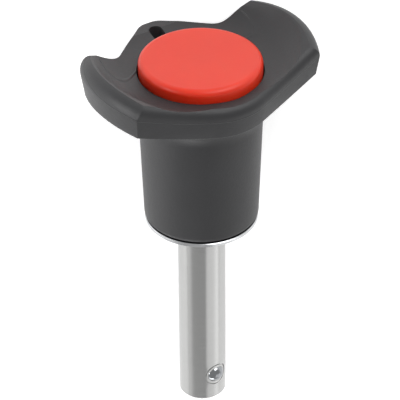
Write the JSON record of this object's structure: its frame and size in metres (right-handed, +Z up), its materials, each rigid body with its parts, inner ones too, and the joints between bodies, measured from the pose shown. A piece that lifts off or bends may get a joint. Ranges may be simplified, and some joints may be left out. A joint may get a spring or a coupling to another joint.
{
  "type": "ball lock pin",
  "caption": "Quick-release pin with spring-loaded locking balls, a central push button and a two-winged moulded grip.",
  "frame": {"origin": "centre of the pin's shoulder, where the shank leaves the base washer", "axes": "+Z up from the surface that the loose pin lies on; +Y towards the pin's tip, which dips about ten degrees; +X across the wings"},
  "size_m": [0.0483, 0.0883, 0.0379],
  "materials": {
    "grip_plastic": "fine grained, dark grey glass-filled thermoplastic",
    "button_plastic": "satin red-orange thermoplastic",
    "ground_steel": "ground stainless steel",
    "turned_steel": "turned stainless steel",
    "ball_steel": "polished hardened stainless steel",
    "spring_steel": "drawn stainless spring wire",
    "insert_brass": "knurled, turned brass"
  },
  "bodies": {
    "pin": {"grip": "grip_plastic", "shank": "ground_steel", "retaining_ring": "spring_steel", "guide_bush": "turned_steel", "base_washer": "turned_steel", "return_spring": "spring_steel"},
    "button": {"push_button": "button_plastic", "button_insert": "insert_brass", "spindle": "turned_steel"},
    "ball_front": {"locking_ball_front": "ball_steel"},
    "ball_back": {"locking_ball_back": "ball_steel"}
  },
  "joints": [
    {"name": "button_press", "type": "slide", "parent": "pin", "child": "button", "axis": [0, 0.9859, -0.1673], "range_m": [0, 0.004], "stiffness_N_per_m": 800, "springref_m": -0.006, "deforming": ["return_spring"]},
    {"name": "front_ball_retract", "type": "slide", "parent": "pin", "child": "ball_front", "axis": [0.5143, -0.1434, -0.8455], "range_m": [0, 0.001]},
    {"name": "back_ball_retract", "type": "slide", "parent": "pin", "child": "ball_back", "axis": [-0.5143, 0.1434, 0.8455], "range_m": [0, 0.001]}
  ],
  "couplings": [
    {"joint": "front_ball_retract", "follows": "button_press", "ratio": 0.25},
    {"joint": "back_ball_retract", "follows": "button_press", "ratio": 0.25}
  ]
}
